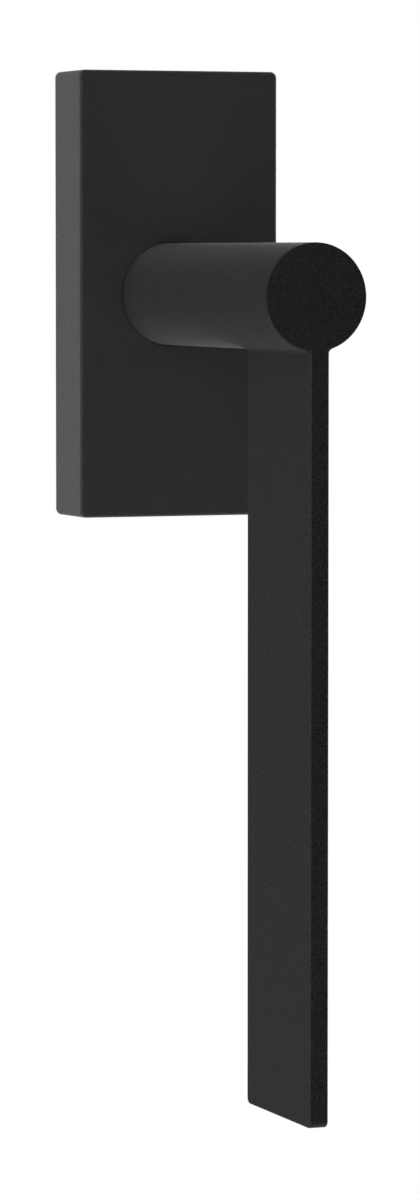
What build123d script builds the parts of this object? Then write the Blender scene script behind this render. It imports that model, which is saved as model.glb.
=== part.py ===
"""Tilt-and-turn window handle on a rectangular rose, with its fixing and detent parts.

Frame: +Z up, the room is on the -Y side and the window sash on the +Y side.
The origin is on the spindle's axis, in the plane of the sash face (y = 0).
The handle is stored closed, with its blade hanging straight down.
"""

from build123d import *
from math import cos, radians, sin
import os

# ---------------------------------------------------------------- driving dimensions, mm
# Rose cover
COVER_WIDTH = 33.0
COVER_HEIGHT = 70.0
COVER_DEPTH = 12.0
COVER_WALL = 1.3
COVER_OFFSET = 1.5  # middle of the rose, to the right of the spindle's axis
COVER_EDGE = 0.6  # rounding of the outer edges
COVER_HOLE = 16.3  # diameter, clear round the neck

# Handle
NECK_DIA = 16.0
NECK_REACH = 61.0  # cover face to the neck's end
NECK_EDGE = 0.25
BLADE_WIDTH = 25.5
BLADE_THICK = 3.0
BLADE_OFFSET = 0.6  # blade's middle plane, to the right of the neck's axis
BLADE_DROP = 122.8  # neck's axis to the blade's lower end
BLADE_CORNER = 1.0
BLADE_EDGE = 0.3
TANG_INSET = 1.5  # the tang is shorter than the blade at both ends
TANG_TOP = -1.5  # z of the tang's upper end

# Neck's tail and what rides on it
TAIL_DIA = 12.0
TAIL_FLAT = 10.4  # across the two flats
TAIL_END_Y = -0.3
SHOULDER_Y = -9.85
SPINDLE_SIDE = 7.0
SPINDLE_CHAMFER = 0.45
SPINDLE_OUT = 30.0  # past the sash face
SPINDLE_IN_Y = -34.0
SOCKET_SIDE = 7.1
SOCKET_END_Y = -35.0
PIN_DIA = 2.5
PIN_LENGTH = 11.6
PIN_Y = -7.4

# Base plate
FIT_GAP = 0.2  # base plate to cover, all round
BASE_DEPTH = 9.0
BASE_CORNER = 1.5
SCREW_SPACING = 43.0
SPIGOT_DIA = 10.0
SPIGOT_LENGTH = 5.0
SCREW_DIA = 5.0
SHANK_DIA = 4.5  # plain shank, above the rolled thread
THREAD_START_Y = 5.5
SCREW_HOLE = 5.4
SCREW_LENGTH = 40.0
SCREW_HEAD = 9.2
SCREW_SINK = 0.2  # head's top below the base plate's front
SCREW_RIM = 0.25  # straight edge of the head
BUSH_OUTER = 14.0
BUSH_INNER = 12.1
BUSH_FLANGE = 19.0
BUSH_FLANGE_THICK = 0.8
WEB_BACK_Y = -5.0  # floor of the detent pocket
POCKET_WIDTH = 22.5
POCKET_HEIGHT = 22.6
POCKET_BOW_WIDTH = 23.6  # wider in the middle, where the leaf springs bow out
POCKET_BOW_HEIGHT = 16.0
CORE_FLOOR_Y = -3.0
CORE_CORNER = 1.2
CORE_HEIGHTS = ((16.5, 27.5), (-27.5, -16.5))
CORE_INNER_X = 6.6  # clear of the screw bosses
CORE_WALL = 1.2

# Detent
KEEPER_THICK = 1.0
KEEPER_WIDTH = 24.6
KEEPER_HEIGHT = 31.2
KEEPER_CORNER = 1.9
KEEPER_HOLE = 13.0
KEEPER_GAP = 0.1  # all round, to its recess
KEEPER_SCREW_X = 9.5
KEEPER_SCREW_Z = 13.2
KEEPER_SCREW_DIA = 2.0
KEEPER_SCREW_HEAD = 3.6
KEEPER_SCREW_TIP_Y = -5.2
CAM_DIA = 18.0
CAM_BACK_Y = -2.3
CAM_THICK = 2.1
CAM_GAP = 0.1  # on the tail, across
NOTCH_RADIUS = 1.9
NOTCH_CENTRE = 9.9  # from the spindle's axis
LEAF_THICK = 0.5
LEAF_HALF = 11.0
RING_Y = -1.25  # back of the retaining ring
RING_THICK = 1.0
RING_PLAY = 0.05
GROOVE_ROOT_DIA = 11.0

# Values that follow from the driving dimensions
COVER_FACE_Y = -COVER_DEPTH
COVER_INSIDE_Y = -COVER_DEPTH + COVER_WALL
NECK_END_Y = COVER_FACE_Y - NECK_REACH
CAVITY_WIDTH = COVER_WIDTH - 2 * COVER_WALL
CAVITY_HEIGHT = COVER_HEIGHT - 2 * COVER_WALL
BASE_WIDTH = CAVITY_WIDTH - 2 * FIT_GAP
BASE_HEIGHT = CAVITY_HEIGHT - 2 * FIT_GAP
BLADE_LEFT = BLADE_OFFSET - BLADE_THICK / 2
BLADE_BACK_Y = NECK_END_Y + BLADE_WIDTH
SCREW_HEIGHTS = (SCREW_SPACING / 2, -SCREW_SPACING / 2)
PAST = 1.0  # how far a cutting tool runs past a face


# ---------------------------------------------------------------- helpers
def block(x, y, z):
    """A box between two limits along each axis."""
    size = (x[1] - x[0], y[1] - y[0], z[1] - z[0])
    return Pos((x[0] + x[1]) / 2, (y[0] + y[1]) / 2, (z[0] + z[1]) / 2) * Box(*size)


def round_bar(diameter, y, x=0.0, z=0.0):
    """A cylinder along Y between two values of y."""
    bar = Rot(-90, 0, 0) * Cylinder(diameter / 2, y[1] - y[0])
    return Pos(x, (y[0] + y[1]) / 2, z) * bar


def taper_bar(start_dia, end_dia, y, x=0.0, z=0.0):
    """A cone along Y, start_dia at y[0] and end_dia at y[1]."""
    cone = Rot(-90, 0, 0) * Cone(start_dia / 2, end_dia / 2, y[1] - y[0])
    return Pos(x, (y[0] + y[1]) / 2, z) * cone


def plate(width, height, y, corner, x=0.0):
    """A plate with rounded corners, square to Y."""
    blank = block((x - width / 2, x + width / 2), y, (-height / 2, height / 2))
    return fillet(blank.edges().filter_by(Axis.Y), corner)


def spun(points):
    """A ring turned about the spindle's axis from (radius, y) points."""
    outline = [Vector(radius, y, 0) for radius, y in points]
    face = make_face(Polyline(*outline, close=True))
    return revolve(face, Axis.Y, 360)


def extruded(face_xz, y):
    """A face drawn in X and Z (sketch y is world z), extruded between two values of y."""
    solid = extrude(face_xz, y[1] - y[0])
    return Pos(0, y[1], 0) * (Rot(90, 0, 0) * solid)


def one_solid(shape):
    """The shape's only solid."""
    solids = shape.solids()
    assert len(solids) == 1, len(solids)
    return solids[0]


# ---------------------------------------------------------------- rose cover
CLIP_WIDTH = 10.0
CLIP_THICK = 0.35
CLIP_SEAT_DEPTH = 1.25  # clip's ends below the base plate's edge
CLIP_BUMP = 0.25  # how far the clip's crest stands into the cover's groove
CLIP_MIDDLE_Y = -4.5
RING_SEAT_DIA = 22.0
RING_SEAT_WALL = 1.5
RING_SEAT_HEIGHT = 0.5
GUIDE_RING_THICK = 0.6
GUIDE_RING_BORE = 16.2
GUIDE_RING_EDGE = 0.2
GROOVE_DEPTH = 0.4
GROOVE_HEIGHT = 3.2


def make_cover():
    """Thin shell, open at the back, with a hole for the neck and two grooves for the clips."""
    half_w, half_h = COVER_WIDTH / 2, COVER_HEIGHT / 2
    sides = (COVER_OFFSET - half_w, COVER_OFFSET + half_w)
    shell = block(sides, (COVER_FACE_Y, 0), (-half_h, half_h))
    front_edges = shell.edges().group_by(Axis.Y)[0]
    side_edges = shell.edges().filter_by(Axis.Y)
    shell = fillet(front_edges + side_edges, COVER_EDGE)
    shell -= plate(CAVITY_WIDTH, CAVITY_HEIGHT, (COVER_INSIDE_Y, PAST), BASE_CORNER, COVER_OFFSET)
    seat_y = (COVER_INSIDE_Y, COVER_INSIDE_Y + RING_SEAT_HEIGHT)
    shell += round_bar(RING_SEAT_DIA + 2 * RING_SEAT_WALL, seat_y)
    shell -= round_bar(RING_SEAT_DIA, (COVER_INSIDE_Y, 0))
    shell -= round_bar(COVER_HOLE, (COVER_FACE_Y - PAST, 0))
    groove_y = (CLIP_MIDDLE_Y - GROOVE_HEIGHT / 2, CLIP_MIDDLE_Y + GROOVE_HEIGHT / 2)
    groove_half = CLIP_WIDTH / 2 + 1.0
    for side in (1, -1):
        wall_z = side * CAVITY_HEIGHT / 2
        low, high = sorted((wall_z - side * PAST, wall_z + side * GROOVE_DEPTH))
        shell -= block((COVER_OFFSET - groove_half, COVER_OFFSET + groove_half), groove_y, (low, high))
    return one_solid(shell)


def make_guide_ring():
    """Polymer ring in the cover that keeps it off the neck's finish."""
    inner, outer, edge = GUIDE_RING_BORE / 2, RING_SEAT_DIA / 2, GUIDE_RING_EDGE
    front, back = COVER_INSIDE_Y, COVER_INSIDE_Y + GUIDE_RING_THICK
    outline = [(inner, front), (outer, front), (outer, back - edge), (outer - edge, back), (inner, back)]
    return one_solid(spun(outline))


def make_cover_clip(side):
    """Sprung strip in the base plate's upper (1) or lower (-1) edge, crowned to catch in the cover."""
    seat = BASE_HEIGHT / 2 - CLIP_SEAT_DEPTH
    crest = CAVITY_HEIGHT / 2 + CLIP_BUMP - CLIP_THICK
    crest_half, foot_half, end_half = 1.0, 2.4, 3.2
    path = [(CLIP_MIDDLE_Y - end_half, seat), (CLIP_MIDDLE_Y - foot_half, seat)]
    path += [(CLIP_MIDDLE_Y - crest_half, crest), (CLIP_MIDDLE_Y + crest_half, crest)]
    path += [(CLIP_MIDDLE_Y + foot_half, seat), (CLIP_MIDDLE_Y + end_half, seat)]
    line = FilletPolyline(*path, radius=0.4)
    strip = Pos(0, CLIP_THICK / 2, 0) * trace(line, CLIP_THICK)
    solid = extrude(strip, CLIP_WIDTH / 2, both=True)
    # sketch x is world y, sketch y is world z
    turned = Plane(origin=(COVER_OFFSET, 0, 0), x_dir=(0, 1, 0), z_dir=(1, 0, 0)).location * solid
    return one_solid(turned if side > 0 else turned.mirror(Plane.XY))


# ---------------------------------------------------------------- base plate
def make_base_plate():
    """Die-cast plate: bearing bore, screw bosses with spigots, detent pocket and clip seats."""
    base = plate(BASE_WIDTH, BASE_HEIGHT, (-BASE_DEPTH, 0), BASE_CORNER, COVER_OFFSET)
    mouth = SCREW_HEAD + 2 * (SCREW_SINK + SCREW_RIM)
    sink_depth = (mouth - SCREW_HOLE) / 2
    spigot_taper_y = SPIGOT_LENGTH - 0.5
    for z in SCREW_HEIGHTS:
        base += round_bar(SPIGOT_DIA, (-PAST, spigot_taper_y), z=z)
        base += taper_bar(SPIGOT_DIA, SPIGOT_DIA - 1.0, (spigot_taper_y, SPIGOT_LENGTH), z=z)
        base -= round_bar(SCREW_HOLE, (-BASE_DEPTH - PAST, SPIGOT_LENGTH + PAST), z=z)
        base -= taper_bar(mouth, SCREW_HOLE, (-BASE_DEPTH, -BASE_DEPTH + sink_depth), z=z)
    # bearing bore
    base -= round_bar(BUSH_OUTER, (-BASE_DEPTH - PAST, WEB_BACK_Y + PAST))
    # detent pocket, and the recess of the keeper that closes it
    pocket_y = (WEB_BACK_Y, PAST)
    half_w, half_h = POCKET_WIDTH / 2, POCKET_HEIGHT / 2
    base -= block((-half_w, half_w), pocket_y, (-half_h, half_h))
    base -= plate(POCKET_BOW_WIDTH, POCKET_BOW_HEIGHT, pocket_y, 1.5)
    recess_width, recess_height = KEEPER_WIDTH + 2 * KEEPER_GAP, KEEPER_HEIGHT + 2 * KEEPER_GAP
    base -= plate(recess_width, recess_height, (-KEEPER_THICK, PAST), KEEPER_CORNER + KEEPER_GAP)
    pilot_dia, pilot_floor_y = KEEPER_SCREW_DIA + 0.04, KEEPER_SCREW_TIP_Y - 0.4
    for x, z in keeper_screw_places():
        base -= round_bar(pilot_dia, (pilot_floor_y, 0), x, z)
    # coring between the bore and the bosses, open at the front
    left_edge, right_edge = COVER_OFFSET - BASE_WIDTH / 2, COVER_OFFSET + BASE_WIDTH / 2
    for z in CORE_HEIGHTS:
        for x in ((left_edge + CORE_WALL, -CORE_INNER_X), (CORE_INNER_X, right_edge - CORE_WALL)):
            core = block(x, (-BASE_DEPTH - PAST, CORE_FLOOR_Y), z)
            base -= fillet(core.edges().filter_by(Axis.Y), CORE_CORNER)
    # clip seats: an open slot with an undercut at each end
    seat_half = CLIP_WIDTH / 2 + 0.15
    seat_x = (COVER_OFFSET - seat_half, COVER_OFFSET + seat_half)
    floor, roof = CLIP_SEAT_DEPTH + 0.1, CLIP_SEAT_DEPTH - 0.5
    slot_y = (CLIP_MIDDLE_Y - 2.45, CLIP_MIDDLE_Y + 2.45)
    undercut_y = (CLIP_MIDDLE_Y - 3.4, CLIP_MIDDLE_Y + 3.4)
    for side in (1, -1):
        edge = side * BASE_HEIGHT / 2
        low, high = sorted((edge - side * floor, edge + side * PAST))
        base -= block(seat_x, slot_y, (low, high))
        low, high = sorted((edge - side * floor, edge - side * roof))
        base -= block(seat_x, undercut_y, (low, high))
    return one_solid(base)


def keeper_screw_places():
    """(x, z) of the four keeper screws."""
    return [(x, z) for x in (-KEEPER_SCREW_X, KEEPER_SCREW_X) for z in (-KEEPER_SCREW_Z, KEEPER_SCREW_Z)]


def make_bearing_bush():
    """Flanged polymer bush: journal bearing for the tail, thrust face for the shoulder."""
    inner, outer, flange = BUSH_INNER / 2, BUSH_OUTER / 2, BUSH_FLANGE / 2
    front, edge = -BASE_DEPTH - BUSH_FLANGE_THICK, 0.2
    outline = [(inner + edge, front), (flange - edge, front), (flange, front + edge), (flange, -BASE_DEPTH)]
    outline += [(outer, -BASE_DEPTH), (outer, WEB_BACK_Y), (inner, WEB_BACK_Y), (inner, front + edge)]
    return one_solid(spun(outline))


def cross_recess(y, z, arm, width, depth):
    """Cutter for a crosshead drive, opening towards -Y."""
    cutter = None
    for angle in (45, 135):
        wide = Rot(0, angle, 0) * block((-arm / 2, arm / 2), (-PAST, depth), (-width / 2, width / 2))
        cutter = wide if cutter is None else cutter + wide
    point = taper_bar(width * 1.9, 0.2, (0, depth * 1.25))
    return Pos(0, y, z) * (cutter + point)


def make_mounting_screw(z):
    """M5 countersunk screw; the thread is a plain cylinder of its outer diameter."""
    top = -BASE_DEPTH + SCREW_SINK
    rim = top + SCREW_RIM
    neck = rim + (SCREW_HEAD - SHANK_DIA) / 2
    tip = top + SCREW_LENGTH
    screw = round_bar(SCREW_HEAD, (top, rim), z=z)
    screw += taper_bar(SCREW_HEAD, SHANK_DIA, (rim, neck), z=z)
    screw += round_bar(SHANK_DIA, (neck, THREAD_START_Y), z=z)
    tip_taper = 0.8
    screw += round_bar(SCREW_DIA, (THREAD_START_Y, tip - tip_taper), z=z)
    screw += taper_bar(SCREW_DIA, SCREW_DIA - 2 * tip_taper, (tip - tip_taper, tip), z=z)
    screw -= cross_recess(top, z, arm=4.6, width=0.95, depth=2.2)
    return one_solid(screw)


# ---------------------------------------------------------------- detent
def make_detent_cam():
    """Disc with four notches, a quarter turn apart, keyed to the tail by two flats."""
    y = (CAM_BACK_Y - CAM_THICK, CAM_BACK_Y)
    cam = round_bar(CAM_DIA, y)
    for angle in range(0, 360, 90):
        x, z = NOTCH_CENTRE * cos(radians(angle)), NOTCH_CENTRE * sin(radians(angle))
        cam -= round_bar(2 * NOTCH_RADIUS, (y[0] - PAST, y[1] + PAST), x, z)
    hole = round_bar(TAIL_DIA + CAM_GAP, (y[0] - PAST, y[1] + PAST))
    half_flat = (TAIL_FLAT + CAM_GAP) / 2
    hole &= block((-half_flat, half_flat), (y[0] - PAST, y[1] + PAST), (-TAIL_DIA, TAIL_DIA))
    return one_solid(cam - hole)


def make_leaf_spring(side):
    """Leaf with a round nose that drops into the cam's notches; side is 1 (right) or -1 (left)."""
    nose = NOTCH_RADIUS - 0.15
    middle = nose - LEAF_THICK / 2
    centre = NOTCH_CENTRE
    # half of the middle line, from the nose's tip upwards
    start = (centre - middle, 0)
    turn = radians(55)
    leave = (centre - middle * cos(turn), middle * sin(turn))
    knee, bend, tip = (10.25, 2.6), (10.45, 6.5), (10.95, LEAF_HALF)
    crest = ThreePointArc(start, (centre - middle * cos(turn / 2), middle * sin(turn / 2)), leave)
    leaf = Polyline(leave, knee, bend, tip)
    upper = trace(crest + leaf, LEAF_THICK)
    face = upper + upper.mirror(Plane.XZ)
    if side < 0:
        face = face.mirror(Plane.YZ)
    return one_solid(extruded(face, (CAM_BACK_Y - CAM_THICK + 0.1, CAM_BACK_Y - 0.1)))


def make_keeper_plate():
    """Steel plate that closes the detent pocket, flush with the sash face."""
    keeper = plate(KEEPER_WIDTH, KEEPER_HEIGHT, (-KEEPER_THICK, 0), KEEPER_CORNER)
    keeper -= round_bar(KEEPER_HOLE, (-KEEPER_THICK - PAST, PAST))
    hole, mouth = KEEPER_SCREW_DIA + 0.2, KEEPER_SCREW_HEAD + 0.4
    for x, z in keeper_screw_places():
        keeper -= round_bar(hole, (-KEEPER_THICK - PAST, PAST), x, z)
        keeper -= taper_bar(hole, mouth, ((hole - mouth) / 2, 0), x, z)
    return one_solid(keeper)


def make_keeper_screws():
    """Four M2 countersunk screws from the back, one group of separate solids."""
    screws = []
    top, rim, cone_end, slot_floor, slot_half = -0.05, -0.15, -0.95, -0.5, 0.22
    for x, z in keeper_screw_places():
        screw = round_bar(KEEPER_SCREW_DIA, (KEEPER_SCREW_TIP_Y, slot_floor), x, z)
        screw += taper_bar(KEEPER_SCREW_DIA, KEEPER_SCREW_HEAD, (cone_end, rim), x, z)
        screw += round_bar(KEEPER_SCREW_HEAD, (rim, top), x, z)
        slot_x = (x - KEEPER_SCREW_HEAD, x + KEEPER_SCREW_HEAD)
        screw -= block(slot_x, (slot_floor, PAST), (z - slot_half, z + slot_half))
        screws.append(one_solid(screw))
    return Compound(children=screws)


# ---------------------------------------------------------------- handle
def make_neck():
    """Turned bar: end disc, slot for the blade's tang, shoulder, journal tail and square socket."""
    neck = round_bar(NECK_DIA, (NECK_END_Y, SHOULDER_Y))
    neck = fillet(neck.edges().group_by(Axis.Y)[0], NECK_EDGE)
    neck += round_bar(TAIL_DIA, (SHOULDER_Y - PAST, TAIL_END_Y))
    cam_front = CAM_BACK_Y - CAM_THICK
    for side in (1, -1):
        left, right = sorted((side * TAIL_FLAT / 2, side * TAIL_DIA))
        neck -= block((left, right), (cam_front, PAST), (-TAIL_DIA, TAIL_DIA))
    groove = round_bar(TAIL_DIA + PAST, (RING_Y - RING_THICK - RING_PLAY, RING_Y + RING_PLAY))
    groove -= round_bar(GROOVE_ROOT_DIA, (RING_Y - RING_THICK - PAST, RING_Y + PAST))
    neck -= groove
    half = SOCKET_SIDE / 2
    neck -= block((-half, half), (SOCKET_END_Y, PAST), (-half, half))
    drill_point = (SOCKET_END_Y - 2.0, SOCKET_END_Y)
    neck -= taper_bar(0.5, SOCKET_SIDE - 0.1, drill_point)
    neck -= Pos(0, PIN_Y, 0) * Cylinder(PIN_DIA / 2, TAIL_DIA + PAST)
    tang_y = (NECK_END_Y + TANG_INSET, BLADE_BACK_Y - TANG_INSET)
    neck -= block((BLADE_LEFT, BLADE_LEFT + BLADE_THICK), tang_y, (-NECK_DIA, TANG_TOP))
    return one_solid(neck)


def make_lever_blade():
    """Flat bar, coped to the neck's underside, with a tang brazed into the neck's slot."""
    x = (BLADE_LEFT, BLADE_LEFT + BLADE_THICK)
    blade = block(x, (NECK_END_Y, BLADE_BACK_Y), (-BLADE_DROP, -NECK_DIA / 4))
    ends = blade.edges().filter_by(Axis.X).group_by(Axis.Z)[0]
    blade = fillet(ends, BLADE_CORNER)
    arrises = blade.edges().filter_by(lambda e: e.center().Z < -NECK_DIA / 4 - 0.1)
    blade = fillet(arrises, BLADE_EDGE)
    blade -= round_bar(NECK_DIA, (NECK_END_Y - PAST, BLADE_BACK_Y + PAST))
    tang_y = (NECK_END_Y + TANG_INSET, BLADE_BACK_Y - TANG_INSET)
    blade += block(x, tang_y, (-NECK_DIA / 2 - PAST, TANG_TOP))
    return one_solid(blade)


def make_spindle():
    """Square bar with eased edges and a cross hole for its pin."""
    half = SPINDLE_SIDE / 2
    bar = block((-half, half), (SPINDLE_IN_Y, SPINDLE_OUT), (-half, half))
    bar = chamfer(bar.edges().filter_by(Axis.Y), SPINDLE_CHAMFER)
    lead_in = 1.5
    turned = round_bar(2 * SPINDLE_SIDE, (SPINDLE_IN_Y, SPINDLE_OUT - lead_in))
    turned += taper_bar(1.5 * SPINDLE_SIDE, 1.05 * SPINDLE_SIDE, (SPINDLE_OUT - lead_in, SPINDLE_OUT))
    bar = bar & turned
    bar -= Pos(0, PIN_Y, 0) * Cylinder(PIN_DIA / 2, 2 * SPINDLE_SIDE)
    return one_solid(bar)


def make_spindle_pin():
    """Slotted spring pin through the tail and the spindle, trapped by the bush."""
    wall, slot = 0.5, 0.5
    pin = Cylinder(PIN_DIA / 2, PIN_LENGTH) - Cylinder(PIN_DIA / 2 - wall, PIN_LENGTH + PAST)
    pin -= Pos(0, PIN_DIA / 2, 0) * Box(slot, PIN_DIA, PIN_LENGTH + PAST)
    return one_solid(Pos(0, PIN_Y, 0) * pin)


def make_spring_washer():
    """Conical spring washer between the web and the cam, which takes up end play."""
    inner, outer, thick = 6.2, 8.6, 0.35
    front, rise = WEB_BACK_Y, 0.2
    outline = [(inner, front + rise), (outer, front), (outer, front + thick), (inner, front + rise + thick)]
    return one_solid(spun(outline))


def make_retaining_ring():
    """Open retaining ring in the tail's groove, with two drilled lugs."""
    y = (RING_Y - RING_THICK, RING_Y)
    through = (y[0] - PAST, y[1] + PAST)
    outer, droop, lug_dia, lug_hole, lug_z, gap_half = 15.4, 0.35, 3.2, 1.2, 7.1, 0.8
    lugs = (-1.9, 1.9)
    ring = round_bar(outer, y, z=-droop)
    for lug_x in lugs:
        ring += round_bar(lug_dia, y, lug_x, lug_z)
    ring -= round_bar(GROOVE_ROOT_DIA + RING_PLAY, through)
    ring -= block((-gap_half, gap_half), through, (0, TAIL_DIA))
    for lug_x in lugs:
        ring -= round_bar(lug_hole, through, lug_x, lug_z)
    return one_solid(ring)


# ---------------------------------------------------------------- the set of parts
PARTS = {
    "rose_cover": make_cover,
    "cover_guide_ring": make_guide_ring,
    "cover_clip_upper": lambda: make_cover_clip(1),
    "cover_clip_lower": lambda: make_cover_clip(-1),
    "base_plate": make_base_plate,
    "bearing_bush": make_bearing_bush,
    "mounting_screw_upper": lambda: make_mounting_screw(SCREW_HEIGHTS[0]),
    "mounting_screw_lower": lambda: make_mounting_screw(SCREW_HEIGHTS[1]),
    "detent_spring_right": lambda: make_leaf_spring(1),
    "detent_spring_left": lambda: make_leaf_spring(-1),
    "keeper_plate": make_keeper_plate,
    "keeper_screws": make_keeper_screws,
    "neck": make_neck,
    "lever_blade": make_lever_blade,
    "spindle": make_spindle,
    "spindle_pin": make_spindle_pin,
    "detent_cam": make_detent_cam,
    "spring_washer": make_spring_washer,
    "retaining_ring": make_retaining_ring,
}

os.makedirs("parts", exist_ok=True)
for node, make in PARTS.items():
    export_step(make(), f"parts/{node}.step")
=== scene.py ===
"""Finished surfaces of a tilt-and-turn window handle, built round its fixed CAD frame.

Frame: +Z up, the room is on the -Y side and the window sash on the +Y side.
The origin is on the spindle's axis, in the plane of the sash face.
Sizes in the functions below are in millimetres until a mesh is made, and in metres after that.
"""

import math

import bmesh
import bpy
from bpy.props import FloatProperty, FloatVectorProperty, IntProperty, PointerProperty
from mathutils import Matrix, Vector


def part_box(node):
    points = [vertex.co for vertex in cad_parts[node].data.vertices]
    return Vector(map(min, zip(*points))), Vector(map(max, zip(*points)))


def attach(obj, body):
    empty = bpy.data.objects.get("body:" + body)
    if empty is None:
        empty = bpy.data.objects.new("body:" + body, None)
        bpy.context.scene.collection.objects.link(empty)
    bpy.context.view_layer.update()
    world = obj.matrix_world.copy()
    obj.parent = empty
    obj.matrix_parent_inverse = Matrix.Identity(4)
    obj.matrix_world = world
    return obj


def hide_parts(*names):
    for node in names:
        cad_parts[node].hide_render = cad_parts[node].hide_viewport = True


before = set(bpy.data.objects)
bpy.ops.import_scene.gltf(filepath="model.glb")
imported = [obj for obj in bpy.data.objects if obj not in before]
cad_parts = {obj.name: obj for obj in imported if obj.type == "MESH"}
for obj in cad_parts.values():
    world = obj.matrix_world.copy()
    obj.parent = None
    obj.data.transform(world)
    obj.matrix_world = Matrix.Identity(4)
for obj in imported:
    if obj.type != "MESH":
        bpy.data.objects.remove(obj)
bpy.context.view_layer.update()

bl_info = {
    "name": "Window Handle Finish",
    "version": (1, 0, 0),
    "blender": (4, 5, 0),
    "location": "View3D > Sidebar > Window Handle",
    "description": "Builds the finished pieces of a tilt-and-turn window handle round its CAD frame",
    "category": "Add Mesh",
}

MM = 0.001


# ---------------------------------------------------------------- places read from the frame
def limits(node):
    """Lowest and highest corner of a CAD node, in millimetres."""
    low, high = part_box(node)
    return low / MM, high / MM


# ---------------------------------------------------------------- mesh helpers
def new_piece(name, points, faces):
    """A mesh object from points in millimetres, its normals facing outwards."""
    mesh = bpy.data.meshes.new(name)
    mesh.from_pydata([Vector(p) * MM for p in points], [], faces)
    work = bmesh.new()
    work.from_mesh(mesh)
    bmesh.ops.recalc_face_normals(work, faces=work.faces)
    work.to_mesh(mesh)
    work.free()
    piece = bpy.data.objects.new(name, mesh)
    bpy.context.scene.collection.objects.link(piece)
    return piece


def loft(name, rings, closed=False):
    """A skin over rings of equal length, its ends capped, or joined to each other if closed."""
    count = len(rings[0])
    points = [p for ring in rings for p in ring]
    faces = []
    for i in range(len(rings) if closed else len(rings) - 1):
        a, b = i * count, (i + 1) % len(rings) * count
        for j in range(count):
            k = (j + 1) % count
            faces.append((a + j, a + k, b + k, b + j))
    if not closed:
        faces.append(tuple(reversed(range(count))))
        faces.append(tuple(range(len(points) - count, len(points))))
    return new_piece(name, points, faces)


def circle(radius, y, count=128, x=0.0, z=0.0):
    """Points of a circle square to Y."""
    turns = (math.tau * i / count for i in range(count))
    return [(x + radius * math.cos(t), y, z + radius * math.sin(t)) for t in turns]


def arc(centre, radius, start, end, steps):
    """Points (u, v) of an arc, angles in degrees."""
    angles = (math.radians(start + (end - start) * i / steps) for i in range(steps + 1))
    return [(centre[0] + radius * math.cos(a), centre[1] + radius * math.sin(a)) for a in angles]


def lathe(name, profile, count=128, closed=False, x=0.0, z=0.0):
    """A turned piece from (radius, y) points."""
    return loft(name, [circle(r, y, count, x, z) for r, y in profile], closed)


def prism(name, outline, low, high, axis):
    """A prism over (u, v) points between two values along an axis; u and v are the other two."""
    place = {
        "X": lambda u, v, w: (w, u, v),
        "Y": lambda u, v, w: (u, w, v),
        "Z": lambda u, v, w: (u, v, w),
    }[axis]
    return loft(name, [[place(u, v, w) for u, v in outline] for w in (low, high)])


def block(name, low, high):
    """A box between two corners."""
    outline = [(low[0], low[2]), (high[0], low[2]), (high[0], high[2]), (low[0], high[2])]
    return prism(name, outline, low[1], high[1], "Y")


def bake_modifiers(piece):
    """Applies a piece's modifiers to its mesh."""
    depsgraph = bpy.context.evaluated_depsgraph_get()
    mesh = bpy.data.meshes.new_from_object(piece.evaluated_get(depsgraph))
    piece.modifiers.clear()
    old, piece.data = piece.data, mesh
    bpy.data.meshes.remove(old)


def combine(piece, tool, how="DIFFERENCE"):
    """Cuts a tool from a piece, or joins it on, and removes the tool."""
    step = piece.modifiers.new("combine", "BOOLEAN")
    step.operation = how
    step.solver = "EXACT"
    step.object = tool
    bake_modifiers(piece)
    bpy.data.objects.remove(tool)


def shade(piece, sharp_from=40):
    """Smooth shading with flat faces kept flat."""
    piece.data.shade_smooth()
    piece.data.set_sharp_from_angle(angle=math.radians(sharp_from))
    step = piece.modifiers.new("flats", "WEIGHTED_NORMAL")
    step.keep_sharp = True
    bake_modifiers(piece)


def place_piece(piece, body, slot, finish, *nodes):
    """Gives a piece its finish and body, and hides the CAD nodes it stands for."""
    piece.data.materials.clear()
    piece.data.materials.append(finish)
    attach(piece, body)
    if nodes:
        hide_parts(*nodes)


def refinish(node, finish):
    """Gives a CAD node that stays visible its finish."""
    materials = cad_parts[node].data.materials
    materials.clear()
    materials.append(finish)


# ---------------------------------------------------------------- material helpers
def node_of(tree, kind, **settings):
    """A shader node with some of its properties and sockets set."""
    node = tree.nodes.new(kind)
    for key, value in settings.items():
        if key in node.inputs:
            node.inputs[key].default_value = value
        else:
            setattr(node, key, value)
    return node


def noise(tree, place, scale, detail=2.0, roughness=0.5):
    """A noise texture at a scale per metre."""
    node = node_of(tree, "ShaderNodeTexNoise", Scale=scale, Detail=detail, Roughness=roughness)
    tree.links.new(place, node.inputs["Vector"])
    return node.outputs["Fac"]


def spread(tree, factor, low, high):
    """Maps a noise factor's middle range to a range of values."""
    node = node_of(tree, "ShaderNodeMapRange")
    node.inputs["From Min"].default_value = 0.3
    node.inputs["From Max"].default_value = 0.7
    node.inputs["To Min"].default_value = low
    node.inputs["To Max"].default_value = high
    tree.links.new(factor, node.inputs["Value"])
    return node.outputs["Result"]


def blend_colours(tree, factor, first, second):
    """Mixes two colours by a noise factor."""
    node = node_of(tree, "ShaderNodeMix", data_type="RGBA")
    node.inputs[6].default_value = (*first, 1)
    node.inputs[7].default_value = (*second, 1)
    tree.links.new(spread(tree, factor, 0, 1), node.inputs[0])
    return node.outputs[2]


def bumps(tree, height, distance, strength=1.0, under=None):
    """A bump of a height pattern, its full depth in metres."""
    node = node_of(tree, "ShaderNodeBump", Strength=strength, Distance=distance)
    tree.links.new(height, node.inputs["Height"])
    if under is not None:
        tree.links.new(under, node.inputs["Normal"])
    return node.outputs["Normal"]


def stretched(tree, place, stretch):
    """Object coordinates scaled along each axis."""
    node = node_of(tree, "ShaderNodeMapping")
    node.inputs["Scale"].default_value = stretch
    tree.links.new(place, node.inputs["Vector"])
    return node.outputs["Vector"]


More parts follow.
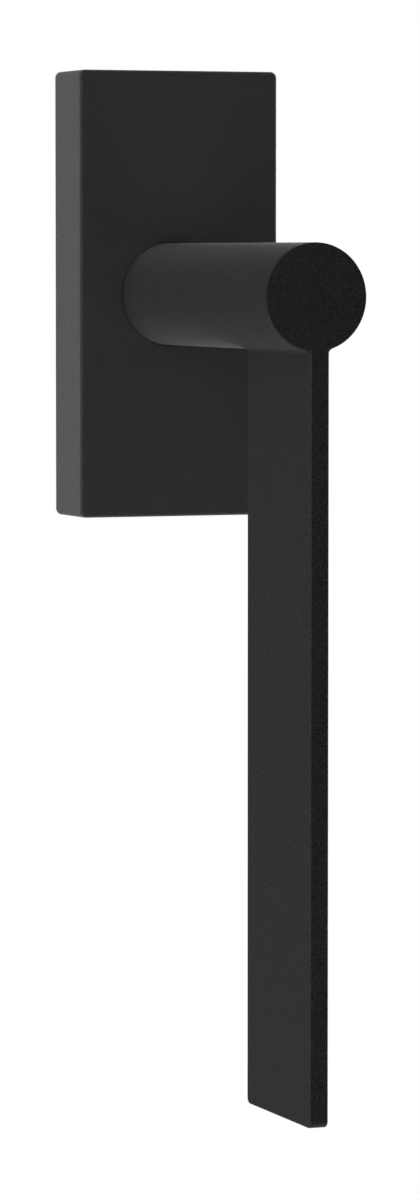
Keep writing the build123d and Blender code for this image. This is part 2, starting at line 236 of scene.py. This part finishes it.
def start_finish(name, metallic=0.0, specular=0.5):
    """A material with a Principled shader: its tree, its shader and object coordinates."""
    finish = bpy.data.materials.new(name)
    finish.use_nodes = True
    tree = finish.node_tree
    shader = tree.nodes["Principled BSDF"]
    shader.inputs["Metallic"].default_value = metallic
    shader.inputs["Specular IOR Level"].default_value = specular
    place = tree.nodes.new("ShaderNodeTexCoord").outputs["Object"]
    return finish, tree, shader, place


def make_coat(name, look, part, sheen_blur):
    """Matt powder coat of one part: speckled grain over a faint peel, with a dusty sheen."""
    values = ("colour", "roughness", "specular", "sheen", "grain", "depth")
    colour, roughness, specular, sheen, grain_size, grain_depth = (
        getattr(look, f"{part}_{value}") for value in values
    )
    finish, tree, shader, place = start_finish(name, specular=specular)
    shader.inputs["Sheen Weight"].default_value = sheen
    shader.inputs["Sheen Roughness"].default_value = sheen_blur
    cloud_scale, peel_scale, peel_depth = 90.0, 700.0, 0.000012
    speckle, grain_blur, cloud_blur = 2.0, 0.18, 0.02
    grain = noise(tree, place, 1 / grain_size, detail=3.0)
    cloud = noise(tree, place, cloud_scale)
    peel = noise(tree, place, peel_scale)
    lighter = [c * speckle for c in colour]
    tree.links.new(blend_colours(tree, grain, colour, lighter), shader.inputs["Base Color"])
    blur = node_of(tree, "ShaderNodeMath", operation="ADD")
    tree.links.new(spread(tree, grain, roughness - grain_blur, roughness + grain_blur), blur.inputs[0])
    tree.links.new(spread(tree, cloud, -cloud_blur, cloud_blur), blur.inputs[1])
    tree.links.new(blur.outputs[0], shader.inputs["Roughness"])
    soft = bumps(tree, peel, peel_depth)
    tree.links.new(bumps(tree, grain, grain_depth * MM, under=soft), shader.inputs["Normal"])
    return finish


def make_black_coat(name):
    """Matt black coat of the neck and the blade."""
    return make_coat(name, bpy.context.scene.handle_finish, "handle", sheen_blur=0.3)


def make_textured_coat(name):
    """Fine-textured black coat of the rose cover. Its colour is painted paler than the handle's coat: painted
    light that stands in for the brighter light falling on the cover.
    """
    return make_coat(name, bpy.context.scene.handle_finish, "rose", sheen_blur=0.5)


def make_die_cast(name):
    """Bare die-cast zinc: mottled, slightly pitted, with faint flow marks."""
    finish, tree, shader, place = start_finish(name, metallic=1.0)
    mottle = noise(tree, place, 450.0, detail=4.0)
    skin = noise(tree, place, 3200.0, detail=2.0)
    flow = noise(tree, stretched(tree, place, (1.0, 1.0, 0.25)), 160.0, detail=3.0, roughness=0.6)
    colour = blend_colours(tree, flow, (0.2, 0.205, 0.215), (0.3, 0.305, 0.315))
    tree.links.new(colour, shader.inputs["Base Color"])
    tree.links.new(spread(tree, mottle, 0.5, 0.68), shader.inputs["Roughness"])
    soft = bumps(tree, mottle, 0.00002)
    tree.links.new(bumps(tree, skin, 0.000012, under=soft), shader.inputs["Normal"])
    return finish


def make_plated_steel(name, along=(1.0, 0.04, 1.0)):
    """Zinc-plated steel with fine drawn lines along one axis."""
    finish, tree, shader, place = start_finish(name, metallic=1.0)
    lines = noise(tree, stretched(tree, place, along), 5200.0, detail=2.0)
    stain = noise(tree, place, 220.0, detail=3.0)
    colour = blend_colours(tree, stain, (0.34, 0.345, 0.36), (0.42, 0.42, 0.41))
    tree.links.new(colour, shader.inputs["Base Color"])
    tree.links.new(spread(tree, stain, 0.36, 0.5), shader.inputs["Roughness"])
    tree.links.new(bumps(tree, lines, 0.000006), shader.inputs["Normal"])
    return finish


def make_screw_steel(name):
    """Zinc-plated fastener steel, lightly tumbled."""
    return make_plated_steel(name, along=(1.0, 1.0, 1.0))


def make_spring_steel(name):
    """Blued spring steel."""
    finish, tree, shader, place = start_finish(name, metallic=1.0)
    lines = noise(tree, stretched(tree, place, (1.0, 1.0, 0.06)), 4200.0)
    heat = noise(tree, place, 260.0, detail=3.0)
    colour = blend_colours(tree, heat, (0.2, 0.22, 0.27), (0.33, 0.33, 0.34))
    tree.links.new(colour, shader.inputs["Base Color"])
    tree.links.new(spread(tree, heat, 0.26, 0.38), shader.inputs["Roughness"])
    tree.links.new(bumps(tree, lines, 0.000005), shader.inputs["Normal"])
    return finish


def make_polymer(name, dark, light, roughness):
    """Moulded engineering polymer with a fine spark-eroded texture."""
    finish, tree, shader, place = start_finish(name, specular=0.45)
    texture = noise(tree, place, 5200.0, detail=2.0)
    cloud = noise(tree, place, 240.0, detail=2.0)
    tree.links.new(blend_colours(tree, cloud, dark, light), shader.inputs["Base Color"])
    tree.links.new(spread(tree, texture, roughness - 0.06, roughness + 0.06), shader.inputs["Roughness"])
    tree.links.new(bumps(tree, texture, 0.000008), shader.inputs["Normal"])
    return finish


def make_bush_polymer(name):
    """Natural acetal."""
    return make_polymer(name, (0.74, 0.73, 0.67), (0.82, 0.81, 0.76), 0.42)


def make_cam_polymer(name):
    """Glass-filled nylon, near black."""
    return make_polymer(name, (0.05, 0.05, 0.055), (0.085, 0.085, 0.09), 0.5)


def make_ring_polymer(name):
    """Black acetal."""
    return make_polymer(name, (0.01, 0.01, 0.01), (0.016, 0.016, 0.016), 0.5)


FINISHES = {
    "black_coat": make_black_coat,
    "textured_coat": make_textured_coat,
    "die_cast_zinc": make_die_cast,
    "plated_steel": make_plated_steel,
    "screw_steel": make_screw_steel,
    "spring_steel": make_spring_steel,
    "bush_polymer": make_bush_polymer,
    "cam_polymer": make_cam_polymer,
    "ring_polymer": make_ring_polymer,
}


def finish_for(slot):
    """The finish of a record's material slot, made at its first use."""
    name = f"{slot}_finish"
    return bpy.data.materials.get(name) or FINISHES[slot](name)


# ---------------------------------------------------------------- user settings
class HandleSizes(bpy.types.PropertyGroup):
    """Sizes of the finished pieces that the CAD frame leaves open."""

    cover_corner: FloatProperty(
        name="Cover corner",
        description="Radius of the cover's four corners seen from the front, in millimetres",
        default=1.0,
        min=0.1,
        max=1.2,
    )
    cover_edge: FloatProperty(
        name="Cover edge",
        description="Radius of the edge round the cover's front, in millimetres",
        default=0.5,
        min=0.1,
        max=0.6,
    )
    neck_edge: FloatProperty(
        name="Neck edge",
        description="Radius round the neck's end disc, in millimetres",
        default=0.22,
        min=0.05,
        max=0.6,
    )
    blade_edge: FloatProperty(
        name="Blade edge",
        description="Radius of the blade's long edges, in millimetres",
        default=0.3,
        min=0.05,
        max=1.0,
    )
    blade_corner: FloatProperty(
        name="Blade corner",
        description="Radius of the two corners at the blade's lower end, in millimetres",
        default=1.0,
        min=0.3,
        max=6.0,
    )
    thread_pitch: FloatProperty(
        name="Thread pitch",
        description="Pitch of the mounting screws' thread, in millimetres",
        default=0.8,
        min=0.5,
        max=1.2,
    )
    round_steps: IntProperty(
        name="Round steps",
        description="Segments round a turned piece",
        default=160,
        min=48,
        max=256,
    )


class HandleFinish(bpy.types.PropertyGroup):
    """Looks of the two black coats."""

    handle_colour: FloatVectorProperty(
        name="Handle colour",
        description="Base colour of the handle's powder coat",
        subtype="COLOR",
        size=3,
        default=(0.022, 0.022, 0.022),
        min=0.0,
        max=1.0,
    )
    handle_roughness: FloatProperty(
        name="Handle roughness",
        description="Middle roughness of the handle's powder coat",
        subtype="FACTOR",
        default=0.6,
        min=0.1,
        max=1.0,
    )
    handle_specular: FloatProperty(
        name="Handle specular",
        description="Specular level of the handle's powder coat",
        subtype="FACTOR",
        default=0.75,
        min=0.0,
        max=1.0,
    )
    handle_sheen: FloatProperty(
        name="Handle sheen",
        description="Dusty sheen of the handle's powder coat at grazing angles",
        subtype="FACTOR",
        default=0.42,
        min=0.0,
        max=1.0,
    )
    handle_grain: FloatProperty(
        name="Handle grain",
        description="Size of the grain in the handle's powder coat",
        subtype="DISTANCE",
        unit="LENGTH",
        precision=5,
        default=0.0003,
        min=0.0001,
        max=0.002,
    )
    handle_depth: FloatProperty(
        name="Handle grain depth",
        description="Depth of the grain in the handle's powder coat, in millimetres",
        default=0.08,
        min=0.0,
        max=0.1,
    )
    # rose_colour is set paler than handle_colour as painted light: it stands in for the brighter light on the
    # cover's front and side
    rose_colour: FloatVectorProperty(
        name="Rose colour",
        description="Base colour of the rose's powder coat",
        subtype="COLOR",
        size=3,
        default=(0.032, 0.032, 0.032),
        min=0.0,
        max=1.0,
    )
    rose_roughness: FloatProperty(
        name="Rose roughness",
        description="Middle roughness of the rose's powder coat",
        subtype="FACTOR",
        default=0.6,
        min=0.1,
        max=1.0,
    )
    rose_specular: FloatProperty(
        name="Rose specular",
        description="Specular level of the rose's powder coat",
        subtype="FACTOR",
        default=0.8,
        min=0.0,
        max=1.0,
    )
    rose_sheen: FloatProperty(
        name="Rose sheen",
        description="Dusty sheen of the rose's powder coat at grazing angles",
        subtype="FACTOR",
        default=0.8,
        min=0.0,
        max=1.0,
    )
    rose_grain: FloatProperty(
        name="Rose grain",
        description="Size of the grain in the rose's powder coat",
        subtype="DISTANCE",
        unit="LENGTH",
        precision=5,
        default=0.0003,
        min=0.0001,
        max=0.002,
    )
    rose_depth: FloatProperty(
        name="Rose grain depth",
        description="Depth of the grain in the rose's powder coat, in millimetres",
        default=0.16,
        min=0.0,
        max=0.1,
    )


class HandleStudio(bpy.types.PropertyGroup):
    """Camera and light."""

    camera_place: FloatVectorProperty(
        name="Camera place",
        description="Where the camera stands, in the frame's axes",
        subtype="TRANSLATION",
        unit="LENGTH",
        size=3,
        default=(-0.2847, -0.7757, 0.0062),
    )
    camera_turn: FloatProperty(
        name="Camera turn",
        description="How far the camera looks to the right of straight at the window",
        subtype="ANGLE",
        unit="ROTATION",
        default=math.radians(20.88),
    )
    camera_dip: FloatProperty(
        name="Camera dip",
        description="How far the camera looks down",
        subtype="ANGLE",
        unit="ROTATION",
        default=math.radians(3.82),
    )
    camera_lens: FloatProperty(
        name="Lens",
        description="Focal length for a 36 mm sensor",
        subtype="DISTANCE_CAMERA",
        default=155.2,
        min=20.0,
        max=400.0,
    )
    floor_light: FloatProperty(
        name="Floor light",
        description="Brightness of the pale floor",
        default=1.0,
        min=0.0,
        max=2.0,
    )
    side_light: FloatProperty(
        name="Side light",
        description="Power of each of the two large side panels, in watts",
        default=0.05,
        min=0.0,
    )
    room_light: FloatProperty(
        name="Room light",
        description="Power of each of the large panels above and behind, in watts",
        default=0.4,
        min=0.0,
    )
    front_light: FloatProperty(
        name="Front light",
        description="Power of the soft box at the left front, in watts",
        default=1.5,
        min=0.0,
    )
    rim_light: FloatProperty(
        name="Rim light",
        description="Power of the soft box at the right back, in watts",
        default=6.5,
        min=0.0,
    )
    over_light: FloatProperty(
        name="Over light",
        description="Power of each soft box above the neck, in watts",
        default=1.0,
        min=0.0,
    )
    under_light: FloatProperty(
        name="Under light",
        description="Power of each soft box below the neck, in watts",
        default=2.1,
        min=0.0,
    )


# ---------------------------------------------------------------- rose cover
def rose_outline(low, high, inset, corner, directions):
    """Points (x, z) where rays from the spindle's axis meet a rectangle with rounded corners."""
    middle = ((low[0] + high[0]) / 2, (low[1] + high[1]) / 2)
    half = ((high[0] - low[0]) / 2 - inset, (high[1] - low[1]) / 2 - inset)
    found = []
    for turn in directions:
        ray = (math.cos(turn), math.sin(turn))
        reach = min(
            (middle[i] + math.copysign(half[i], ray[i])) / ray[i] for i in (0, 1) if abs(ray[i]) > 1e-9
        )
        x, z = ray[0] * reach, ray[1] * reach
        core = [
            middle[i] + math.copysign(half[i] - corner, (x, z)[i] - middle[i]) for i in (0, 1)
        ]
        if abs(x - middle[0]) > half[0] - corner and abs(z - middle[1]) > half[1] - corner:
            along = ray[0] * core[0] + ray[1] * core[1]
            away = core[0] ** 2 + core[1] ** 2 - along**2
            reach = along + math.sqrt(max(corner**2 - away, 0))
            x, z = ray[0] * reach, ray[1] * reach
        found.append((x, z))
    return found


def cover_directions(low, high, inset, corner, even=144, fine=8):
    """Angles for the cover's rings: evenly spaced, with extra ones round the corners."""
    turns = {math.tau * (i + 0.5) / even for i in range(even)}
    for x in (low[0] + inset, high[0] - inset):
        for z in (low[1] + inset, high[1] - inset):
            inner = (x - math.copysign(corner, x), z - math.copysign(corner, z))
            ends = [math.atan2(inner[1], x), math.atan2(z, inner[0])]
            turns.update((ends[0] + (ends[1] - ends[0]) * i / fine) % math.tau for i in range(fine + 1))
    return turns


class HANDLE_OT_rose_cover(bpy.types.Operator):
    """Thin shell over the base plate, with a round hole for the neck"""

    bl_idname = "handle.rose_cover"
    bl_label = "Rose Cover"
    wall = 1.3
    cavity_corner = 1.5
    neck_hole = 8.1
    groove_half, groove_depth = 6, 0.4
    groove_front, groove_back = -6.1, -2.9

    def rings(self, low, high, sizes, hole):
        """Rings from the back rim over the outside, through the hole and back along the inside."""
        corners = ((low[0], low[2]), (high[0], high[2]))
        turns = cover_directions(*corners, 0, sizes.cover_corner)
        turns |= cover_directions(*corners, self.wall, self.cavity_corner)
        turns = sorted(turns)
        face, inside = low[1], low[1] + self.wall
        edge, rim = sizes.cover_edge, 0.12

        def flat(inset, corner, y):
            return [(x, y, z) for x, z in rose_outline(*corners, inset, corner, turns)]

        def round_ring(radius, y):
            return [(radius * math.cos(t), y, radius * math.sin(t)) for t in turns]

        made = [flat(rim, sizes.cover_corner, 0.0), flat(0.0, sizes.cover_corner, -rim)]
        made.append(flat(0.0, sizes.cover_corner, face + 2 * edge))
        for inset, y in arc((edge, face + edge), edge, 180, 270, 6):
            made.append(flat(inset, max(sizes.cover_corner - inset * 0.5, 0.2), y))
        made.append(flat(2.5 * edge, sizes.cover_corner, face))
        ease = 0.05
        made.append(round_ring(hole + 3 * ease, face))
        for radius, y in arc((hole + ease, face + ease), ease, 270, 180, 4):
            made.append(round_ring(radius, y))
        seat, seat_wall, seat_height = 11.0, 1.5, 0.5
        made += [round_ring(hole, inside), round_ring(seat, inside), round_ring(seat, inside + seat_height)]
        made += [round_ring(seat + seat_wall, inside + seat_height), round_ring(seat + seat_wall, inside)]
        made.append(flat(self.wall + 0.3, self.cavity_corner, inside))
        made.append(flat(self.wall, self.cavity_corner, inside + 0.3))
        made.append(flat(self.wall, self.cavity_corner, -rim))
        made.append(flat(self.wall - rim, self.cavity_corner, 0.0))
        return made

    def execute(self, context):
        sizes = context.scene.handle_sizes
        low, high = limits("rose_cover")
        piece = loft("rose_cover_shell", self.rings(low, high, sizes, self.neck_hole), closed=True)
        middle = (low[0] + high[0]) / 2
        for end in (low[2] + self.wall, high[2] - self.wall):
            groove_low = (middle - self.groove_half, self.groove_front, end - self.groove_depth)
            groove_high = (middle + self.groove_half, self.groove_back, end + self.groove_depth)
            combine(piece, block("groove", groove_low, groove_high))
        shade(piece)
        place_piece(piece, "cover", "textured_coat", finish_for("textured_coat"), "rose_cover")
        return {"FINISHED"}


# ---------------------------------------------------------------- handle
TANG_INSET = 1.5  # the tang is shorter than the blade at both ends


class HANDLE_OT_neck(bpy.types.Operator):
    """Turned neck with its end disc, shoulder, journal tail, square socket and tang slot"""

    bl_idname = "handle.neck"
    bl_label = "Neck"

    def execute(self, context):
        sizes = context.scene.handle_sizes
        low, high = limits("neck")
        radius, tail, root = high[0], 6.0, 5.5
        shoulder, groove_front, groove_back = -9.85, -2.3, -1.2
        edge, ease = sizes.neck_edge, 0.15
        profile = [(0.4 * radius, low[1]), (0.9 * radius, low[1])]
        profile += arc((radius - edge, low[1] + edge), edge, 270, 360, 6)
        profile += [(radius, low[1] + 4 * edge), (radius, shoulder - 3 * ease), (radius, shoulder - ease)]
        profile += [(radius - ease, shoulder), (tail + 2 * ease, shoulder), (tail, shoulder + 0.02)]
        profile += [(tail, groove_front), (root, groove_front), (root, groove_back), (tail, groove_back)]
        profile += [(tail, high[1] - 0.3), (tail - 0.3, high[1]), (0.4 * tail, high[1])]
        piece = lathe("neck_bar", profile, sizes.round_steps)
        flat, flat_front, socket, socket_end = 5.2, -4.4, 3.55, -35.0
        pin_radius, pin_y, outside, behind = 1.25, -7.4, 9.0, 1.0
        for side in (-1, 1):
            edges = sorted((side * flat, side * outside))
            combine(piece, block("flat", (edges[0], flat_front, -outside), (edges[1], behind, outside)))
        combine(piece, block("socket", (-socket, socket_end, -socket), (socket, behind, socket)))
        pin = [(x, y + pin_y) for x, y in arc((0, 0), pin_radius, 0, 345, 23)]
        combine(piece, prism("cross", pin, -outside, outside, "Z"))
        blade_low, blade_high = limits("lever_blade")
        slot_low = (blade_low[0], blade_low[1] + TANG_INSET, -outside)
        slot_high = (blade_high[0], blade_high[1] - TANG_INSET, blade_high[2])
        combine(piece, block("slot", slot_low, slot_high))
        shade(piece)
        place_piece(piece, "handle", "black_coat", finish_for("black_coat"), "neck")
        return {"FINISHED"}


class HANDLE_OT_lever_blade(bpy.types.Operator):
    """Flat lever bar, coped to the neck, with its brazed joint"""

    bl_idname = "handle.lever_blade"
    bl_label = "Lever Blade"
    bar_top = -5.0
    tang_foot = -9.0
    braze_leg = 0.5

    def outline(self, low, high, corner, inset, top):
        """Side view (y, z) of the bar, inset for its edge rounding."""
        radius = corner - inset
        lower_front, lower_back = (low[1] + corner, low[2] + corner), (high[1] - corner, low[2] + corner)
        points = [(low[1] + inset, top)]
        points += arc(lower_front, radius, 180, 270, 8)
        points += arc(lower_back, radius, 270, 360, 8)
        points.append((high[1] - inset, top))
        return points

    def execute(self, context):
        sizes = context.scene.handle_sizes
        low, high = limits("lever_blade")
        edge, corner = sizes.blade_edge, sizes.blade_corner
        rings = []
        for inset, x in arc((edge, low[0] + edge), edge, 270, 180, 4):
            rings.append([(x, y, z) for y, z in self.outline(low, high, corner, inset, self.bar_top)])
        for inset, x in arc((edge, high[0] - edge), edge, 180, 90, 4):
            rings.append([(x, y, z) for y, z in self.outline(low, high, corner, inset, self.bar_top)])
        piece = loft("lever_blade_bar", rings)
        neck_low, neck_high = limits("neck")
        cope = neck_high[0] - sizes.neck_edge
        bar = [(cope, low[1] - 1.0), (cope, high[1] + 1.0)]
        combine(piece, lathe("cope", bar, sizes.round_steps))
        tang_low = (low[0], low[1] + TANG_INSET, self.tang_foot)
        tang_high = (high[0], high[1] - TANG_INSET, high[2])
        combine(piece, block("tang", tang_low, tang_high), "UNION")
        shade(piece)
        place_piece(piece, "handle", "black_coat", finish_for("black_coat"), "lever_blade")
        self.braze(context, low, high, neck_high[0])
        return {"FINISHED"}

    def braze(self, context, low, high, radius):
        """Thin coated fillet where the blade's faces and back edge meet the neck."""
        leg = self.braze_leg
        for name, x, away in (("left", low[0], -1), ("right", high[0], 1)):
            join = -math.sqrt(radius**2 - x**2)
            out = x + away * leg
            foot = -math.sqrt(radius**2 - out**2)
            section = [(x - away * 0.2, join + 0.3), (x - away * 0.2, join - leg), (x, join - leg)]
            section += [(x + away * leg * 0.3, join - leg * 0.32), (out, foot), (out, foot + 0.3)]
            front = low[1] + context.scene.handle_sizes.blade_edge
            piece = prism(f"braze_fillet_{name}", section, front, high[1] - 0.2, "Y")
            shade(piece)
            place_piece(piece, "handle", "black_coat", finish_for("black_coat"))


class HANDLE_OT_spindle(bpy.types.Operator):
    """Square spindle and its slotted spring pin"""

    bl_idname = "handle.spindle"
    bl_label = "Spindle"

    def execute(self, context):
        refinish("spindle", finish_for("plated_steel"))
        refinish("spindle_pin", finish_for("spring_steel"))
        return {"FINISHED"}


# ---------------------------------------------------------------- base
class HANDLE_OT_base_plate(bpy.types.Operator):
    """Die-cast base plate and its bearing bush"""

    bl_idname = "handle.base_plate"
    bl_label = "Base Plate"

    def execute(self, context):
        refinish("base_plate", finish_for("die_cast_zinc"))
        refinish("bearing_bush", finish_for("bush_polymer"))
        return {"FINISHED"}


class HANDLE_OT_mounting_screws(bpy.types.Operator):
    """Countersunk mounting screws with a cross recess and a cut thread"""

    bl_idname = "handle.mounting_screws"
    bl_label = "Mounting Screws"

    def threaded_screw(self, name, low, high, pitch):
        """One screw about its own axis, its head at the low end."""
        head, rim, shank, crest = (high[0] - low[0]) / 2, 0.25, 2.25, 2.5
        start, tip, steps, per_turn = 5.5, high[1], 40, 8
        depth, tip_taper, tip_radius = 0.61 * pitch, 0.8, 0.6
        rings = [circle(head * share, low[1], steps) for share in (0.5, 0.75)]
        rings += [circle(r, y, steps) for r, y in arc((head - 0.12, low[1] + 0.12), 0.12, 270, 360, 2)]
        rings.append(circle(head, low[1] + rim, steps))
        rings.append(circle(shank + 0.1, low[1] + rim + head - shank - 0.1, steps))
        rings += [circle(shank, low[1] + rim + head - shank + 0.15, steps), circle(shank, start - 0.2, steps)]
        for i in range(int((tip - 0.02 - start) / pitch * per_turn) + 1):
            y = start + i * pitch / per_turn
            fade = min(1.0, i / per_turn)
            end_taper = max(0.0, y - (tip - tip_taper))
            ring = []
            for j in range(steps):
                phase = ((y / pitch) - j / steps) % 1.0
                ridge = 1 - abs(2 * phase - 1)
                groove = depth * (1 - min(1.0, ridge * 1.25))
                turn = math.tau * j / steps
                radius = min(crest, shank + fade * (crest - shank)) - fade * groove - end_taper
                ring.append((radius * math.cos(turn), y, radius * math.sin(turn)))
            rings.append(ring)
        rings.append(circle(tip_radius, tip, steps))
        return loft(name, rings)

    def recess(self, y):
        """Tapered four-winged cutter."""
        depth, arm, width = 2.2, 2.3, 0.48
        wings = []
        for quarter in range(4):
            turn = math.radians(45 + 90 * quarter)
            for share, side in ((width / arm, 0), (1, -1), (1, 1)):
                wings.append((turn, share, side))
        rings = []
        for y_step, reach in ((-0.5, 1.12), (0.0, 1.0), (depth, 0.45)):
            ring = []
            for turn, share, side in wings:
                along, across = arm * reach * share, width * reach * side
                if side == 0:
                    turn -= math.radians(45)
                    along, across = width * reach * math.sqrt(2), 0.0
                ring.append(
                    (
                        along * math.cos(turn) - across * math.sin(turn),
                        y + y_step,
                        along * math.sin(turn) + across * math.cos(turn),
                    )
                )
            rings.append(ring)
        cutter = loft("recess", rings)
        combine(cutter, lathe("point", [(1.0, y - 0.4), (0.95, y), (0.15, y + depth + 0.6)], 24), "UNION")
        return cutter

    def execute(self, context):
        pitch = context.scene.handle_sizes.thread_pitch
        for end in ("upper", "lower"):
            low, high = limits(f"mounting_screw_{end}")
            piece = self.threaded_screw(f"threaded_screw_{end}", low, high, pitch)
            combine(piece, self.recess(low[1]))
            piece.data.transform(Matrix.Translation((0, 0, (low[2] + high[2]) / 2 * MM)))
            shade(piece, sharp_from=50)
            finish = finish_for("screw_steel")
            place_piece(piece, "base", "screw_steel", finish, f"mounting_screw_{end}")
        return {"FINISHED"}


class HANDLE_OT_detent(bpy.types.Operator):
    """Detent cam, leaf springs, spring washer and retaining ring"""

    bl_idname = "handle.detent"
    bl_label = "Detent"

    def execute(self, context):
        refinish("detent_cam", finish_for("cam_polymer"))
        for node in ("detent_spring_left", "detent_spring_right", "spring_washer", "retaining_ring"):
            refinish(node, finish_for("spring_steel"))
        return {"FINISHED"}


class HANDLE_OT_keeper(bpy.types.Operator):
    """Keeper plate behind the detent, with its four screws"""

    bl_idname = "handle.keeper"
    bl_label = "Keeper"

    def execute(self, context):
        refinish("keeper_plate", finish_for("plated_steel"))
        refinish("keeper_screws", finish_for("screw_steel"))
        return {"FINISHED"}


class HANDLE_OT_cover_fittings(bpy.types.Operator):
    """Clips that hold the cover, and the ring that guides it on the neck"""

    bl_idname = "handle.cover_fittings"
    bl_label = "Cover Fittings"

    def execute(self, context):
        for node in ("cover_clip_upper", "cover_clip_lower"):
            refinish(node, finish_for("spring_steel"))
        refinish("cover_guide_ring", finish_for("ring_polymer"))
        return {"FINISHED"}


# ---------------------------------------------------------------- studio
LIGHT_AIM = (0.0, -0.03, -0.02)
# reach and side of each kind of square soft light, in metres
PANEL, BOX = (0.7, 1.4), (0.8, 0.9)
# name, kind, direction from the handle, and the studio setting that holds its power
LIGHTS = (
    ("left_panel", PANEL, (-1, 0, 0), "side_light"),
    ("right_panel", PANEL, (1, 0, 0), "side_light"),
    ("top_panel", PANEL, (0, 0, 1), "room_light"),
    ("back_panel", PANEL, (0, 1, 0), "room_light"),
    ("left_front_box", BOX, (-1, -1, 0), "front_light"),
    ("right_back_box", BOX, (1, 1, 0), "rim_light"),
    ("top_left_box", BOX, (-1, 0, 1), "over_light"),
    ("top_right_box", BOX, (1, 0, 1), "over_light"),
    ("bottom_right_box", BOX, (1, 0, -1), "under_light"),
    ("bottom_left_box", BOX, (-1, 0, -1), "under_light"),
)


class HANDLE_OT_studio(bpy.types.Operator):
    """Pale floor, soft lights and the camera"""

    bl_idname = "handle.studio"
    bl_label = "Studio"

    def camera(self, studio):
        """Camera from its place, turn and dip."""
        data = bpy.data.cameras.new("studio_camera")
        data.lens = studio.camera_lens
        data.sensor_width = 36.0
        data.clip_start, data.clip_end = 0.05, 50.0
        camera = bpy.data.objects.new("studio_camera", data)
        camera.location = studio.camera_place
        camera.rotation_euler = (math.pi / 2 - studio.camera_dip, 0.0, -studio.camera_turn)
        bpy.context.scene.collection.objects.link(camera)
        bpy.context.scene.camera = camera

    def soft_light(self, name, direction, reach, side, watts):
        """Square soft light that faces the handle's middle from a direction."""
        data = bpy.data.lights.new(name, "AREA")
        data.shape = "SQUARE"
        data.size = side
        data.energy = watts
        light = bpy.data.objects.new(name, data)
        away = Vector(direction).normalized()
        light.location = Vector(LIGHT_AIM) + away * reach
        light.rotation_euler = away.to_track_quat("Z", "Y").to_euler()
        light.visible_camera = False
        bpy.context.scene.collection.objects.link(light)

    def world(self):
        """Plain white room that lights nothing itself, so the soft lights shape the black coat."""
        world = bpy.data.worlds.new("studio_room")
        bpy.context.scene.world = world
        world.use_nodes = True
        room = world.node_tree.nodes["Background"]
        room.inputs["Strength"].default_value = 1.0
        room.inputs["Color"].default_value = (1, 1, 1, 1)
        world.cycles_visibility.diffuse = False
        world.cycles_visibility.glossy = False

    def floor(self, studio):
        """Large pale floor well below the blade, glowing like a light table."""
        z, radius = -1200.0, 2500.0
        points = circle(radius, 0.0, 96)
        piece = new_piece("studio_floor", [(x, y2, z) for x, _, y2 in points], [tuple(range(len(points)))])
        finish = bpy.data.materials.new("pale_floor")
        finish.use_nodes = True
        shader = finish.node_tree.nodes["Principled BSDF"]
        shader.inputs["Base Color"].default_value = (0.9, 0.9, 0.9, 1)
        shader.inputs["Roughness"].default_value = 0.9
        shader.inputs["Emission Color"].default_value = (1, 1, 1, 1)
        shader.inputs["Emission Strength"].default_value = studio.floor_light
        piece.data.materials.append(finish)
        piece.visible_diffuse = False
        piece.visible_glossy = False
        piece.visible_shadow = False

    def execute(self, context):
        studio = context.scene.handle_studio
        context.scene.view_settings.view_transform = "Standard"
        self.camera(studio)
        self.world()
        self.floor(studio)
        for name, (reach, side), direction, setting in LIGHTS:
            self.soft_light(name, direction, reach, side, getattr(studio, setting))
        return {"FINISHED"}


# ---------------------------------------------------------------- panel and registration
PIECE_OPERATORS = (
    HANDLE_OT_rose_cover,
    HANDLE_OT_neck,
    HANDLE_OT_lever_blade,
    HANDLE_OT_spindle,
    HANDLE_OT_base_plate,
    HANDLE_OT_mounting_screws,
    HANDLE_OT_detent,
    HANDLE_OT_keeper,
    HANDLE_OT_cover_fittings,
    HANDLE_OT_studio,
)
GROUPS = {
    "handle_sizes": HandleSizes,
    "handle_finish": HandleFinish,
    "handle_studio": HandleStudio,
}


class HANDLE_PT_panel(bpy.types.Panel):
    """Settings and makers of the window handle"""

    bl_idname = "HANDLE_PT_panel"
    bl_label = "Window Handle"
    bl_space_type = "VIEW_3D"
    bl_region_type = "UI"
    bl_category = "Window Handle"

    def draw(self, context):
        for group in GROUPS:
            box = self.layout.box()
            settings = getattr(context.scene, group)
            for name in settings.__annotations__:
                box.prop(settings, name)
        for operator in PIECE_OPERATORS:
            self.layout.operator(operator.bl_idname)


CLASSES = (*GROUPS.values(), *PIECE_OPERATORS, HANDLE_PT_panel)


def register():
    for cls in CLASSES:
        bpy.utils.register_class(cls)
    for name, group in GROUPS.items():
        setattr(bpy.types.Scene, name, PointerProperty(type=group))


def unregister():
    for name in GROUPS:
        delattr(bpy.types.Scene, name)
    for cls in reversed(CLASSES):
        bpy.utils.unregister_class(cls)


def main():
    """Builds every piece and the studio."""
    register()
    for operator in PIECE_OPERATORS:
        group, name = operator.bl_idname.split(".")
        getattr(getattr(bpy.ops, group), name)()


if __name__ == "__main__":
    main()
